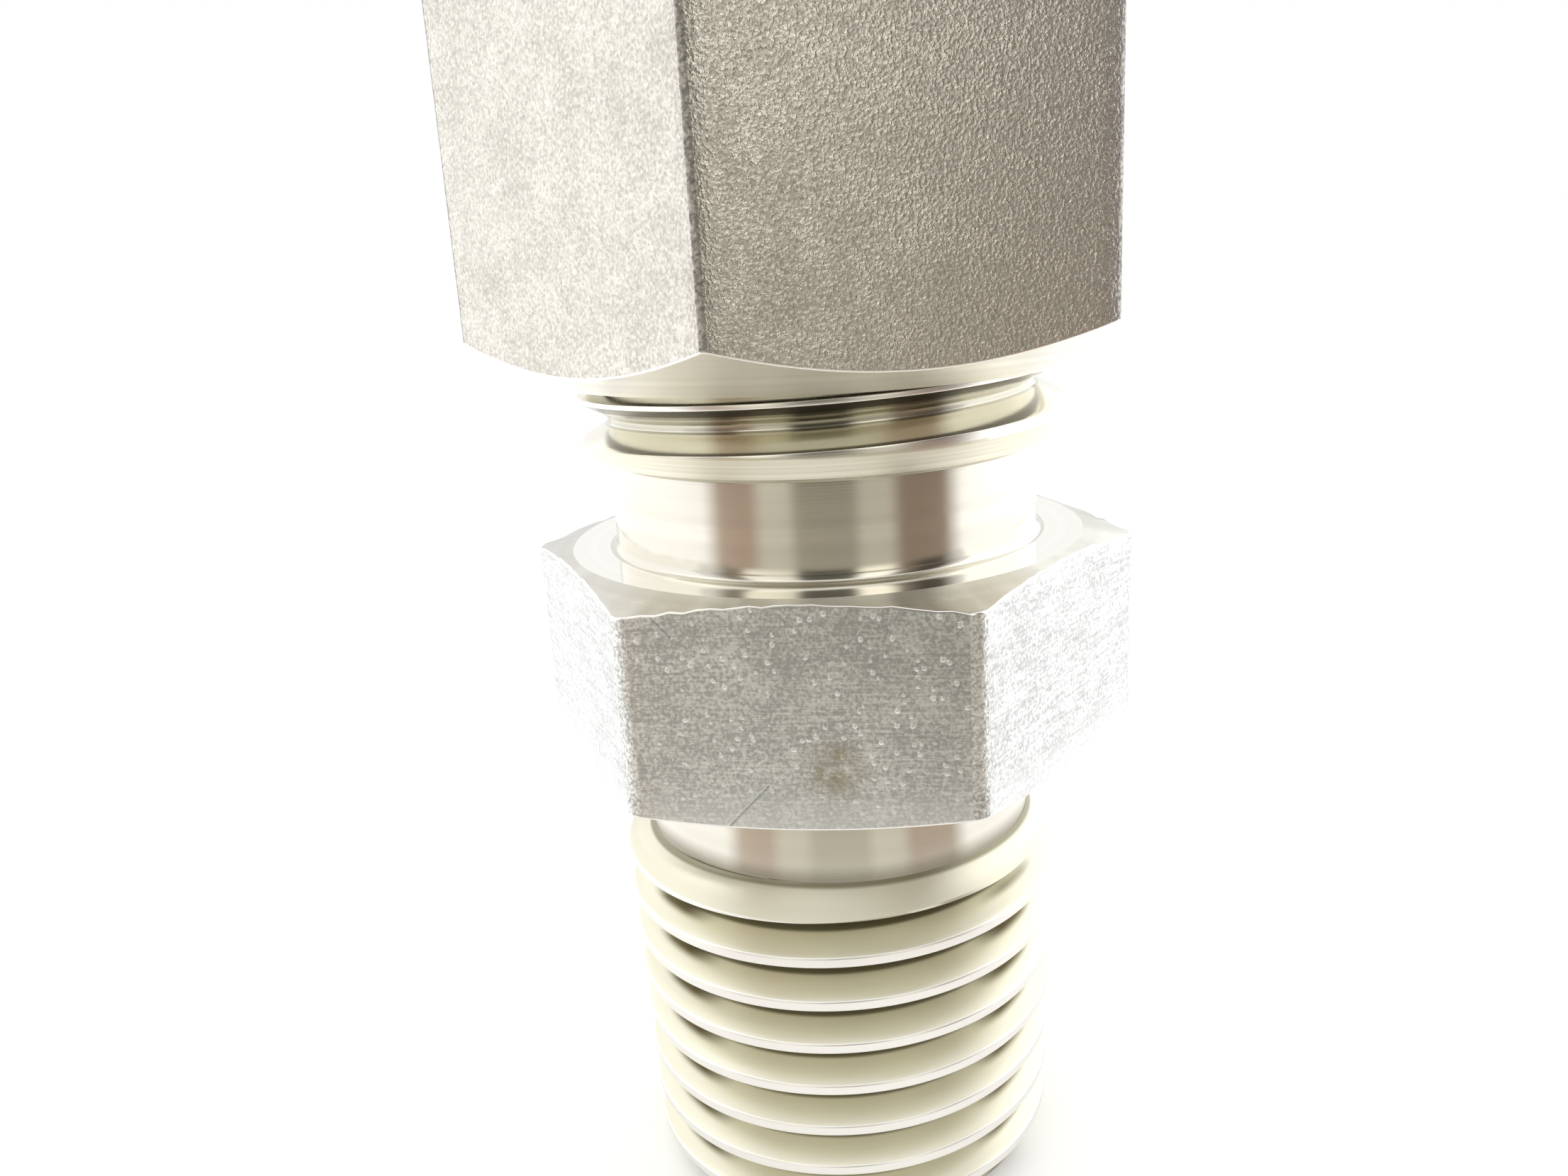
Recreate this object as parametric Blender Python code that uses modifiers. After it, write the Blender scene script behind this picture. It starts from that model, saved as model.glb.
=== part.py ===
"""A male pipe connector for tube: a threaded body, a nut and a pair of ferrules.

Metres, +Z up. The pipe thread's end face stands at z = 0 and the axis of the fitting is Z.
The nut sits finger-tight on the ferrules, which is how such a fitting is shipped.
The pipe thread is cut into the body. The coupling thread, which the nut hides and runs on with a gap, is left as
a plain surface at its pitch line.
"""

import math

import bmesh
import bpy

# Tube and bores
TUBE_OD = 0.009525  # 3/8 in tube
SOCKET_PLAY = 0.0001  # the tube's play in the body, on the diameter
FERRULE_PLAY = 0.0001  # the tube's play in the ferrules, on the diameter
NUT_PLAY = 0.0003  # the tube's play in the nut, on the diameter
FLOW_BORE = 0.0071
BORE_CHAMFER = 0.0004

# Pipe thread: 1/4 in, 18 threads to the inch, tapered 1 in 16 on the diameter
PIPE_PITCH = 0.0254 / 18
PIPE_CREST_SHARE = 0.14  # width of the thread's crests against its pitch
PIPE_CREST_HEIGHT = 0.01106  # of one crest, where it crosses the front of the body
PIPE_CLIMB = 0.35  # how fast the groove's bottom climbs to the relief, against its way up
FLANK_ANGLE = 30.0  # of a thread's flanks, from square to the axis
PIPE_LENGTH = 0.0142
PIPE_END_OD = 0.0130
PIPE_TAPER = 1 / 16
PIPE_END_CHAMFER = 0.0009
RELIEF_DEPTH = 0.00087  # below the crests next to it
RELIEF_LENGTH = 0.0025

# Body hexagon, 5/8 in across its flats
BODY_HEX = 0.015875
BODY_HEX_HEIGHT = 0.00625
BODY_HEX_CORNER = 0.0005
BODY_FACE_INSET = 0.0003  # from a flat in to the round face above the chamfer
BODY_CHAMFER_ANGLE = 15.0

# Neck and coupling thread: 9/16 in, 20 threads to the inch
NECK_WALL = 0.0015  # around the tube socket
NECK_LENGTH = 0.00285
NECK_FILLET = 0.0004
NOSE_WALL = 0.0012  # from the mouth out to the thread's crests
COUPLING_PITCH = 0.00127
COUPLING_LENGTH = 0.0080
NOSE_CHAMFER = 0.0005

# Tube socket and the cone that the front ferrule seats in
SOCKET_DEPTH = 0.0084
MOUTH_FLARE = 0.0011  # from the socket's wall out to the mouth
SEAT_ANGLE = 20.0

# Ferrules
FRONT_WALL = 0.0013
FRONT_BAND = 0.0012
FRONT_TIP_WALL = 0.00025
FRONT_RIM = 0.0003  # the flat left round the recess for the back ferrule
BACK_WALL = 0.0012
BACK_BAND = 0.0009
BACK_TIP_WALL = 0.0002
DRIVE_ANGLE = 15.0

# Nut, for an 11/16 in wrench
NUT_WALL = 0.0016  # from the thread's crests out to a flat
NUT_HEIGHT = 0.01425
NUT_CORNER = 0.00012
NUT_FACE_INSET = 0.0009  # from a flat in to the round face beyond the chamfer
NUT_CHAMFER_ANGLE = 30.0
NUT_ENTRY_CHAMFER = 0.0005
NUT_HOLE_CHAMFER = 0.0004
NUT_GAP = 0.0050  # from the body's hexagon to the nut, finger-tight
NUT_TURN = -7.9  # the nut's corners against the body's flats, in degrees
PULL_UP_TURNS = 1.25  # left to tighten after finger-tight

# Fits and facets
SEAT_GAP = 0.0003
SIDES = 48
ARC_STEPS = 4
CORNER_SEGMENTS = 2
GROOVE_STEPS = 32  # to a turn
RELIEF_MISS = 0.00003  # how far the groove's cutter stays off the relief
OVERSIZE = 0.001  # how far a blank or a cutter stands past what it trims
MERGE = 0.00001
SMOOTH_ANGLE = 30.0

# Steel finishes: base colour, roughness
BODY_STEEL = ((0.60, 0.59, 0.56), 0.28)
NUT_STEEL = ((0.56, 0.54, 0.51), 0.45)
FERRULE_STEEL = ((0.66, 0.65, 0.62), 0.22)

# Heights along the body
HEX_BOTTOM = PIPE_LENGTH
HEX_TOP = HEX_BOTTOM + BODY_HEX_HEIGHT
THREAD_BOTTOM = HEX_TOP + NECK_LENGTH
NOSE = THREAD_BOTTOM + COUPLING_LENGTH
NUT_BOTTOM = HEX_TOP + NUT_GAP

# From the crests to the pitch line of a 60-degree thread, as a share of its pitch
PITCH_LINE = 3 * math.sqrt(3) / 16

# Radii that two pieces share
SOCKET_RADIUS = (TUBE_OD + SOCKET_PLAY) / 2
MOUTH_RADIUS = SOCKET_RADIUS + MOUTH_FLARE
THREAD_CREST_RADIUS = MOUTH_RADIUS + NOSE_WALL
THREAD_PITCH_RADIUS = THREAD_CREST_RADIUS - COUPLING_PITCH * PITCH_LINE
FERRULE_BORE_RADIUS = (TUBE_OD + FERRULE_PLAY) / 2
FRONT_RADIUS = FERRULE_BORE_RADIUS + FRONT_WALL
RECESS_RADIUS = FRONT_RADIUS - FRONT_RIM
BACK_RADIUS = FERRULE_BORE_RADIUS + BACK_WALL


def slope(angle):
    return math.tan(math.radians(angle))


# The ferrules stack up from the cone in the body's mouth.
# Facing cones keep SEAT_GAP between them, measured square to the cone.
SEAT_OFFSET = SEAT_GAP / math.cos(math.radians(SEAT_ANGLE))
RECESS_OFFSET = SEAT_GAP * math.sqrt(2)
DRIVE_OFFSET = SEAT_GAP / math.cos(math.radians(DRIVE_ANGLE))
FRONT_SHOULDER = NOSE + (FRONT_RADIUS + SEAT_OFFSET - MOUTH_RADIUS) / slope(SEAT_ANGLE)
FRONT_TOP = FRONT_SHOULDER + FRONT_BAND
BACK_BOTTOM = FRONT_TOP + SEAT_GAP
BACK_TOP = BACK_BOTTOM + BACK_BAND


def make_collection(name):
    collection = bpy.data.collections.new(name)
    bpy.context.scene.collection.children.link(collection)
    return collection


def make_steel(name, finish):
    colour, roughness = finish
    material = bpy.data.materials.new(name)
    material.use_nodes = True
    shader = material.node_tree.nodes["Principled BSDF"]
    shader.inputs["Base Color"].default_value = (*colour, 1.0)
    shader.inputs["Metallic"].default_value = 1.0
    shader.inputs["Roughness"].default_value = roughness
    return material


def turned(name, profile, base, collection):
    """A ring turned from a closed profile of (radius, height) points, its origin on the axis at base."""
    mesh = bpy.data.meshes.new(name)
    form = bmesh.new()
    points = [form.verts.new((radius, 0.0, height - base)) for radius, height in profile]
    for first, second in zip(points, points[1:] + points[:1]):
        form.edges.new((first, second))
    form.to_mesh(mesh)
    form.free()
    ring = bpy.data.objects.new(name, mesh)
    ring.location.z = base
    collection.objects.link(ring)
    screw = ring.modifiers.new("turn", "SCREW")
    screw.steps = SIDES
    screw.render_steps = SIDES
    screw.use_merge_vertices = True
    screw.merge_threshold = MERGE
    return ring


def cut_hexagon(blank, flat, corner, height, turn, collection):
    """Mills six flats on a turned blank, each that far from the axis, with rounded corners between them."""
    bpy.ops.mesh.primitive_cylinder_add(
        vertices=6,
        radius=flat / math.cos(math.pi / 6),
        depth=height + 2 * OVERSIZE,
    )
    bar = bpy.context.active_object
    bar.name = f"{blank.name}_hex_bar"
    for owner in list(bar.users_collection):
        owner.objects.unlink(bar)
    collection.objects.link(bar)
    bar.location = (0.0, 0.0, blank.location.z + height / 2)
    bar.rotation_euler.z = turn
    bar.hide_render = True
    bar.display_type = "WIRE"
    rounding = bar.modifiers.new("corners", "BEVEL")
    rounding.width = corner * math.tan(math.pi / 6)
    rounding.segments = CORNER_SEGMENTS
    flats = blank.modifiers.new("flats", "BOOLEAN")
    flats.operation = "INTERSECT"
    flats.solver = "EXACT"
    flats.object = bar


def arc(centre, radius, first, last):
    """Points of an arc in the profile's plane, from one angle to the other, in degrees."""
    angles = [math.radians(first + (last - first) * step / ARC_STEPS) for step in range(ARC_STEPS + 1)]
    return [(centre[0] + radius * math.cos(a), centre[1] + radius * math.sin(a)) for a in angles]


def baked(source):
    """The mesh that an object's curve or modifiers make, with the ends of a curve joined to its sides."""
    mesh = bpy.data.meshes.new_from_object(source.evaluated_get(bpy.context.evaluated_depsgraph_get()))
    form = bmesh.new()
    form.from_mesh(mesh)
    bmesh.ops.remove_doubles(form, verts=form.verts, dist=MERGE / 10)
    bmesh.ops.recalc_face_normals(form, faces=form.faces)
    form.to_mesh(mesh)
    form.free()
    return mesh


def make_groove_section(collection):
    """The V of a 60-degree thread, its point at the origin and its mouth towards +X."""
    # The mouth takes in half of a crest, so the cutter stands past the crests and its turns stay apart.
    half = PIPE_PITCH * (1 - PIPE_CREST_SHARE / 2) / 2
    reach = half / slope(FLANK_ANGLE)
    outline = bpy.data.curves.new("groove_section", "CURVE")
    outline.dimensions = "2D"
    spline = outline.splines.new("POLY")
    spline.points.add(2)
    for point, place in zip(spline.points, [(0.0, 0.0), (reach, -half), (reach, half)]):
        point.co = (*place, 0.0, 1.0)
    spline.use_cyclic_u = True
    section = bpy.data.objects.new("groove_section", outline)
    collection.objects.link(section)
    return section


def cut_pipe_thread(body, crest, relief, top, collection):
    """Cuts the pipe thread: one groove that winds up the taper and climbs out into the relief above it."""
    depth = PIPE_PITCH * (1 - PIPE_CREST_SHARE) / 2 / slope(FLANK_ANGLE)
    winding = bpy.data.curves.new("pipe_groove", "CURVE")
    winding.dimensions = "3D"
    winding.twist_mode = "Z_UP"
    winding.bevel_mode = "OBJECT"
    winding.bevel_object = make_groove_section(collection)
    winding.use_fill_caps = True
    spline = winding.splines.new("POLY")
    # Turns are counted from the front, where the groove's middle lies half a pitch above the crest there.
    middle = PIPE_CREST_HEIGHT + PIPE_PITCH / 2
    first = math.floor((-PIPE_PITCH - middle) / PIPE_PITCH * GROOVE_STEPS)
    last = math.ceil((top + PIPE_PITCH / 2 - middle) / PIPE_PITCH * GROOVE_STEPS)
    spline.points.add(last - first)
    for point, step in zip(spline.points, range(first, last + 1)):
        turn = (step + 0.5) / GROOVE_STEPS
        height = middle + turn * PIPE_PITCH
        climb = relief + RELIEF_MISS - PIPE_CLIMB * max(top - height, 0.0)
        radius = max(crest + height * PIPE_TAPER / 2 - depth, climb)
        angle = 2 * math.pi * turn - math.pi / 2
        point.co = (radius * math.cos(angle), radius * math.sin(angle), height, 1.0)
    path = bpy.data.objects.new("pipe_groove_path", winding)
    collection.objects.link(path)
    cutter = bpy.data.objects.new("pipe_groove", baked(path))
    collection.objects.link(cutter)
    cutter.hide_render = True
    cutter.display_type = "WIRE"
    for guide in (path, winding.bevel_object):
        bpy.data.objects.remove(guide)
    groove = body.modifiers.new("pipe_thread", "BOOLEAN")
    groove.operation = "DIFFERENCE"
    groove.solver = "EXACT"
    groove.object = cutter


def make_body(parts, cutters):
    thread = THREAD_PITCH_RADIUS - SEAT_GAP / 2
    neck = SOCKET_RADIUS + NECK_WALL
    blank = BODY_HEX / 2 / math.cos(math.pi / 6) + OVERSIZE
    face = BODY_HEX / 2 - BODY_FACE_INSET
    chamfer = (blank - face) * slope(BODY_CHAMFER_ANGLE)
    pipe_end = PIPE_END_OD / 2
    pipe_top = HEX_BOTTOM - RELIEF_LENGTH
    relief = pipe_end + pipe_top * PIPE_TAPER / 2 - RELIEF_DEPTH
    # The thread's upper shoulder leaves the relief at 45 degrees and meets the taper.
    shoulder = RELIEF_DEPTH / (1 + PIPE_TAPER / 2)
    bore = FLOW_BORE / 2
    seat_depth = MOUTH_FLARE / slope(SEAT_ANGLE)
    outside = [
        (thread - NOSE_CHAMFER, NOSE),
        (thread, NOSE - NOSE_CHAMFER),
        (thread, THREAD_BOTTOM),
        (neck, THREAD_BOTTOM - (thread - neck)),
        *arc((neck + NECK_FILLET, HEX_TOP + NECK_FILLET), NECK_FILLET, 180, 270),
        (face, HEX_TOP),
        (blank, HEX_TOP - chamfer),
        (blank, HEX_BOTTOM + chamfer),
        (face, HEX_BOTTOM),
        (relief, HEX_BOTTOM),
        (relief, pipe_top),
        (relief + shoulder, pipe_top - shoulder),
        (pipe_end + PIPE_END_CHAMFER * PIPE_TAPER / 2, PIPE_END_CHAMFER),
        (pipe_end - PIPE_END_CHAMFER, 0.0),
    ]
    inside = [
        (bore + BORE_CHAMFER, 0.0),
        (bore, BORE_CHAMFER),
        (bore, NOSE - SOCKET_DEPTH),
        (SOCKET_RADIUS, NOSE - SOCKET_DEPTH),
        (SOCKET_RADIUS, NOSE - seat_depth),
        (MOUTH_RADIUS, NOSE),
    ]
    body = turned("connector_body", outside + inside, 0.0, parts)
    cut_hexagon(body, BODY_HEX / 2, BODY_HEX_CORNER, NOSE, math.pi / 6, cutters)
    cut_pipe_thread(body, pipe_end, relief, pipe_top, cutters)
    return body


def make_front_ferrule(parts):
    tip = FERRULE_BORE_RADIUS + FRONT_TIP_WALL
    tip_height = FRONT_SHOULDER - (FRONT_RADIUS - tip) / slope(SEAT_ANGLE)
    profile = [
        (RECESS_RADIUS, FRONT_TOP),
        (FRONT_RADIUS, FRONT_TOP),
        (FRONT_RADIUS, FRONT_SHOULDER),
        (tip, tip_height),
        (FERRULE_BORE_RADIUS, tip_height),
        (FERRULE_BORE_RADIUS, FRONT_TOP - (RECESS_RADIUS - FERRULE_BORE_RADIUS)),
    ]
    return turned("front_ferrule", profile, tip_height, parts)


def make_back_ferrule(parts):
    root = RECESS_RADIUS + SEAT_GAP - RECESS_OFFSET
    tip = FERRULE_BORE_RADIUS + BACK_TIP_WALL
    tip_height = BACK_BOTTOM - (root - tip)
    crown = BACK_TOP + BACK_WALL * slope(DRIVE_ANGLE)
    profile = [
        (FERRULE_BORE_RADIUS, crown),
        (BACK_RADIUS, BACK_TOP),
        (BACK_RADIUS, BACK_BOTTOM),
        (root, BACK_BOTTOM),
        (tip, tip_height),
        (FERRULE_BORE_RADIUS, tip_height),
    ]
    return turned("back_ferrule", profile, tip_height, parts)


def make_nut(parts, cutters):
    top = NUT_BOTTOM + NUT_HEIGHT
    flat = THREAD_CREST_RADIUS + NUT_WALL
    blank = flat / math.cos(math.pi / 6) + OVERSIZE
    face = flat - NUT_FACE_INSET
    chamfer = (blank - face) * slope(NUT_CHAMFER_ANGLE)
    thread = THREAD_PITCH_RADIUS + SEAT_GAP / 2
    chamber = max(FRONT_RADIUS, BACK_RADIUS) + SEAT_GAP
    # The chamber clears the body's nose when the nut is pulled up, and its roof drives the back ferrule.
    chamber_bottom = NOSE + PULL_UP_TURNS * COUPLING_PITCH + SEAT_GAP
    hole = (TUBE_OD + NUT_PLAY) / 2
    roof = BACK_TOP + DRIVE_OFFSET + (BACK_RADIUS - chamber) * slope(DRIVE_ANGLE)
    roof_top = roof + (chamber - hole) * slope(DRIVE_ANGLE)
    profile = [
        (hole + NUT_HOLE_CHAMFER, top),
        (face, top),
        (blank, top - chamfer),
        (blank, NUT_BOTTOM + chamfer),
        (face, NUT_BOTTOM),
        (thread + NUT_ENTRY_CHAMFER, NUT_BOTTOM),
        (thread, NUT_BOTTOM + NUT_ENTRY_CHAMFER),
        (thread, chamber_bottom),
        (chamber, chamber_bottom),
        (chamber, roof),
        (hole, roof_top),
        (hole, top - NUT_HOLE_CHAMFER),
    ]
    nut = turned("coupling_nut", profile, NUT_BOTTOM, parts)
    cut_hexagon(nut, flat, NUT_CORNER, NUT_HEIGHT, math.radians(NUT_TURN), cutters)
    return nut


def finish(piece, material):
    """Bakes the modifiers into the mesh, shades it smooth between sharp edges and gives it its steel."""
    mesh = baked(piece)
    piece.modifiers.clear()
    piece.data = mesh
    mesh.materials.clear()
    mesh.materials.append(material)
    mesh.shade_smooth()
    mesh.set_sharp_from_angle(angle=math.radians(SMOOTH_ANGLE))


def main():
    for leftover in list(bpy.data.objects):
        bpy.data.objects.remove(leftover)
    parts = make_collection("male_connector")
    cutters = make_collection("cutters")
    axis = bpy.data.objects.new("connector_axis", None)
    parts.objects.link(axis)
    ferrule_steel = make_steel("ferrule_steel", FERRULE_STEEL)
    pieces = [
        (make_body(parts, cutters), make_steel("body_steel", BODY_STEEL)),
        (make_front_ferrule(parts), ferrule_steel),
        (make_back_ferrule(parts), ferrule_steel),
        (make_nut(parts, cutters), make_steel("nut_steel", NUT_STEEL)),
    ]
    for piece, steel in pieces:
        piece.parent = axis
        finish(piece, steel)


main()
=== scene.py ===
# %% [markdown]
# # A tube connector in bare steel
#
# The object is a small compression fitting, about 40 mm tall. A turned body carries a tapered pipe
# thread, a wrench hexagon, a plain neck and a coupling thread. A hexagon nut runs on the coupling thread
# and holds two ferrules over the body's mouth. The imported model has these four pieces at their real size,
# with the pipe thread cut and the coupling thread left plain. This script makes both threads, breaks the
# edges and gives every surface its finish.

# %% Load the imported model
import math

import bmesh
import bpy
import numpy as np
from mathutils import Matrix, Vector


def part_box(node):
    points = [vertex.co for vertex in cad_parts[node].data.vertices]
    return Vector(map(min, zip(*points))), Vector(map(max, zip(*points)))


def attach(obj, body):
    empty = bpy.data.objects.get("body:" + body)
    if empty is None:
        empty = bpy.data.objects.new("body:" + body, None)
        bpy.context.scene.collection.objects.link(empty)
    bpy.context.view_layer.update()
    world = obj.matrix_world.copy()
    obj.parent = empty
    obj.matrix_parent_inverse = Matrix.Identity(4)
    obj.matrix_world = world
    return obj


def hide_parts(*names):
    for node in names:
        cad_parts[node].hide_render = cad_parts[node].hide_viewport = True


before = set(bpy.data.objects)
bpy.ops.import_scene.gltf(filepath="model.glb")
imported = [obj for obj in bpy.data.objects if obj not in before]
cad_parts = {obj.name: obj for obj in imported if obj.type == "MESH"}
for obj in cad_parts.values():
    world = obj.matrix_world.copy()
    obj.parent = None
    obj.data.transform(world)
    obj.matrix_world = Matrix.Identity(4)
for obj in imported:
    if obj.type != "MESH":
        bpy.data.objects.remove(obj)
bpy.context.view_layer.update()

MM = 0.001
scene = bpy.context.scene

# %% [markdown]
# ## The camera
#
# The photograph was taken from very near, so its perspective is strong: the nut's edges spread towards
# the top and the pipe thread shrinks towards the bottom. The camera's place and aim were found by fitting
# the corners of both hexagons, whose sizes are standard, so these are real distances and angles.

# %% Place the camera
PHOTO_WIDTH = 2212  # pixels
FOCAL_LENGTH = 1769.4  # in pixels of the photograph
SENSOR_WIDTH = 36.0  # mm
CAMERA_AZIMUTH = 6.48  # degrees round the axis, from -Y towards +X
CAMERA_DISTANCE = 37.39  # mm from the axis
CAMERA_HEIGHT = 29.09  # mm
CAMERA_PAN = 2.11  # degrees
CAMERA_PITCH = -15.65
CAMERA_ROLL = 3.3


def turn(degrees, axis):
    return Matrix.Rotation(math.radians(degrees), 4, axis)


def place_object(name, data):
    thing = bpy.data.objects.new(name, data)
    scene.collection.objects.link(thing)
    return thing


optics = bpy.data.cameras.new("photo_camera")
optics.sensor_width = SENSOR_WIDTH
optics.lens = SENSOR_WIDTH * FOCAL_LENGTH / PHOTO_WIDTH
optics.clip_start = 1 * MM
camera = place_object("photo_camera", optics)
stand = Matrix.Translation((0.0, -CAMERA_DISTANCE * MM, CAMERA_HEIGHT * MM))
aim = turn(CAMERA_PAN, "Z") @ turn(CAMERA_PITCH, "X") @ turn(CAMERA_ROLL, "Y") @ turn(90, "X")
camera.matrix_world = turn(CAMERA_AZIMUTH, "Z") @ stand @ aim
scene.camera = camera
scene.view_settings.view_transform = "Standard"
print("lens in mm:", round(optics.lens, 2))

# %% [markdown]
# ## Nodes in few words
#
# Every material below is a small graph of nodes. A few helpers keep the graphs readable. The first adds
# a node, sets its options and fills or links its inputs. The others build on it, each for one kind of
# step.

# %% Helpers for node graphs
def add(tree, kind, inputs=None, **options):
    node = tree.nodes.new(kind)
    for option, value in options.items():
        setattr(node, option, value)
    for socket, value in (inputs or {}).items():
        if isinstance(value, bpy.types.NodeSocket):
            tree.links.new(value, node.inputs[socket])
        else:
            node.inputs[socket].default_value = value
    return node


def calc(tree, operation, first, second=0.0, clamp=False):
    inputs = {0: first, 1: second}
    return add(tree, "ShaderNodeMath", inputs, operation=operation, use_clamp=clamp).outputs[0]


def times(tree, first, second):
    return calc(tree, "MULTIPLY", first, second)


def multiply_add(tree, value, factor, term):
    inputs = {0: value, 1: factor, 2: term}
    return add(tree, "ShaderNodeMath", inputs, operation="MULTIPLY_ADD").outputs[0]


def remap(tree, value, start, end, low=0.0, high=1.0):
    """Carries a value from start..end over to low..high, with soft ends."""
    inputs = {"Value": value, "From Min": start, "From Max": end, "To Min": low, "To Max": high}
    return add(tree, "ShaderNodeMapRange", inputs, interpolation_type="SMOOTHSTEP").outputs["Result"]


def blend_colour(tree, factor, first, second):
    mix = add(tree, "ShaderNodeMix", {0: factor, 6: first, 7: second}, data_type="RGBA")
    return mix.outputs[2]


def vector_math(tree, operation, first, second=(0.0, 0.0, 0.0)):
    node = add(tree, "ShaderNodeVectorMath", {0: first, 1: second}, operation=operation)
    return node.outputs["Value" if operation in ("DISTANCE", "DOT_PRODUCT", "LENGTH") else "Vector"]


def face(tree, place, azimuth):
    """A place turned so that the azimuth comes to -Y, and its angle round the axis from there."""
    inputs = {"Vector": place, "Angle": math.radians(-azimuth)}
    facing = add(tree, "ShaderNodeVectorRotate", inputs, rotation_type="Z_AXIS")
    split = add(tree, "ShaderNodeSeparateXYZ", {"Vector": facing.outputs[0]}).outputs
    towards = times(tree, split["Y"], -1.0)
    return split, calc(tree, "ARCTAN2", split["X"], towards)


# %% [markdown]
# ## The light tent
#
# Polished steel shows what stands round it, so the surroundings are half of its look. The photograph
# looks as if it was taken in a white tent, open towards the camera: bright steel mirrors the white cloth,
# and the curved neck mirrors the dark opening as upright bands. One node group gives the tent's tone in
# any direction, and the world and the floor share it. The camera itself sees white and a pale floor.

# %% Make the tent's tone
TENT_SPAN = 110.0  # degrees to each side of the camera that the ramp covers
TENT_WHITE = (1.0, 1.0, 1.0)
TENT_SIDE = (1.28, 1.28, 1.28)  # the floor to either side of the object
# Azimuth in degrees from the camera, positive to the right, and the tones that the tent has there:
# high up, along the far edge of the floor, on the far floor, and on the floor close by
TENT_TONES = [
    (-64, TENT_WHITE, TENT_WHITE, TENT_SIDE, TENT_SIDE),
    (-54, (0.30, 0.26, 0.21), (0.30, 0.22, 0.17), (0.56, 0.44, 0.37), (0.66, 0.56, 0.48)),
    (-47, (0.30, 0.26, 0.21), (0.29, 0.21, 0.16), (0.53, 0.41, 0.34), (0.63, 0.53, 0.45)),
    (-42, (1.30, 1.26, 1.15), (0.29, 0.21, 0.16), (0.51, 0.39, 0.32), (0.61, 0.51, 0.43)),
    (-38, (1.30, 1.26, 1.15), (0.29, 0.21, 0.16), (0.50, 0.38, 0.31), (0.60, 0.50, 0.42)),
    (-31, (1.25, 1.21, 1.11), (0.90, 0.86, 0.74), (0.68, 0.65, 0.57), (0.76, 0.73, 0.65)),
    (-19, (1.10, 1.06, 0.97), (0.82, 0.78, 0.66), (0.66, 0.63, 0.55), (0.74, 0.71, 0.63)),
    (-13, (0.12, 0.115, 0.10), (0.06, 0.06, 0.045), (0.42, 0.39, 0.32), (0.58, 0.555, 0.48)),
    (13, (0.14, 0.135, 0.11), (0.06, 0.06, 0.045), (0.40, 0.37, 0.31), (0.57, 0.545, 0.47)),
    (19, (1.58, 1.53, 1.42), (0.40, 0.37, 0.30), (0.62, 0.59, 0.51), (0.74, 0.71, 0.63)),
    (32, (1.58, 1.53, 1.42), (0.48, 0.45, 0.37), (0.61, 0.58, 0.50), (0.72, 0.69, 0.61)),
    (39, (0.31, 0.255, 0.215), (0.29, 0.225, 0.185), (0.31, 0.235, 0.185), (0.52, 0.43, 0.36)),
    (50, (0.09, 0.074, 0.06), (0.20, 0.15, 0.12), (0.32, 0.245, 0.195), (0.53, 0.44, 0.37)),
    (62, (0.09, 0.074, 0.06), (0.20, 0.15, 0.12), (0.34, 0.26, 0.21), (0.54, 0.45, 0.38)),
    (73, TENT_WHITE, TENT_WHITE, TENT_SIDE, TENT_SIDE),
]
# Elevations where a change of tone starts and ends
CLOSE_FLOOR = (-37.5, -35.5)  # from white under the object to the tones of the floor close by
FAR_FLOOR = (-30.0, -24.0)  # from those to the tones of the far floor
FLOOR_EDGE = (-8.6, -7.4)  # from those to the tones of its far edge
TENT_RISE = (-7.0, 8.0)  # from those to the high tones
TENT_ROOF = (34.0, 56.0)  # from those to white


def tone_ramp(tree, across, column):
    """One column of the tones as a colour ramp over the azimuth."""
    ramp = add(tree, "ShaderNodeValToRGB", {"Fac": across})
    stops = ramp.color_ramp.elements
    while len(stops) < len(TENT_TONES):
        stops.new(0.5)
    for stop, row in zip(stops, TENT_TONES):
        stop.position = 0.5 + 0.5 * row[0] / TENT_SPAN
        stop.color = (*row[column], 1.0)
    return ramp.outputs["Color"]


def make_tent_tone():
    group = bpy.data.node_groups.new("tent_tone", "ShaderNodeTree")
    group.interface.new_socket("Direction", in_out="INPUT", socket_type="NodeSocketVector")
    group.interface.new_socket("Tone", in_out="OUTPUT", socket_type="NodeSocketColor")
    given = add(group, "NodeGroupInput")
    split, azimuth = face(group, given.outputs["Direction"], CAMERA_AZIMUTH)
    across = multiply_add(group, azimuth, 0.5 / math.radians(TENT_SPAN), 0.5)
    high, edge, far, close = [tone_ramp(group, across, column) for column in (1, 2, 3, 4)]
    white = (*TENT_WHITE, 1.0)
    tone = white
    limits = [CLOSE_FLOOR, FAR_FLOOR, FLOOR_EDGE, TENT_RISE, TENT_ROOF]
    for elevations, further in zip(limits, [close, far, edge, high, white]):
        share = remap(group, split["Z"], *np.sin(np.radians(elevations)))
        tone = blend_colour(group, share, tone, further)
    add(group, "NodeGroupOutput", {"Tone": tone})
    return group


tent_tone = make_tent_tone()
print("tent tone:", len(TENT_TONES), "stops")

# %% Hang the tent and lay the floor
FLOOR_SIZE = 8.0  # metres, so that its far edge lies at the horizon
FLOOR_COLOUR = (0.86, 0.86, 0.85, 1.0)
FLOOR_TONE = (0.78, 0.78, 0.78)  # dims the floor in the steel, to make up for the lift
FLOOR_LIFT = 0.30  # light that the floor adds where the camera or the steel sees it
FLOOR_EYE = (0.0, 0.0, -20 * MM)  # the floor is toned as seen from so far above its middle


def tent_node(tree, direction):
    return add(tree, "ShaderNodeGroup", {"Direction": direction}, node_tree=tent_tone).outputs["Tone"]


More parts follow.
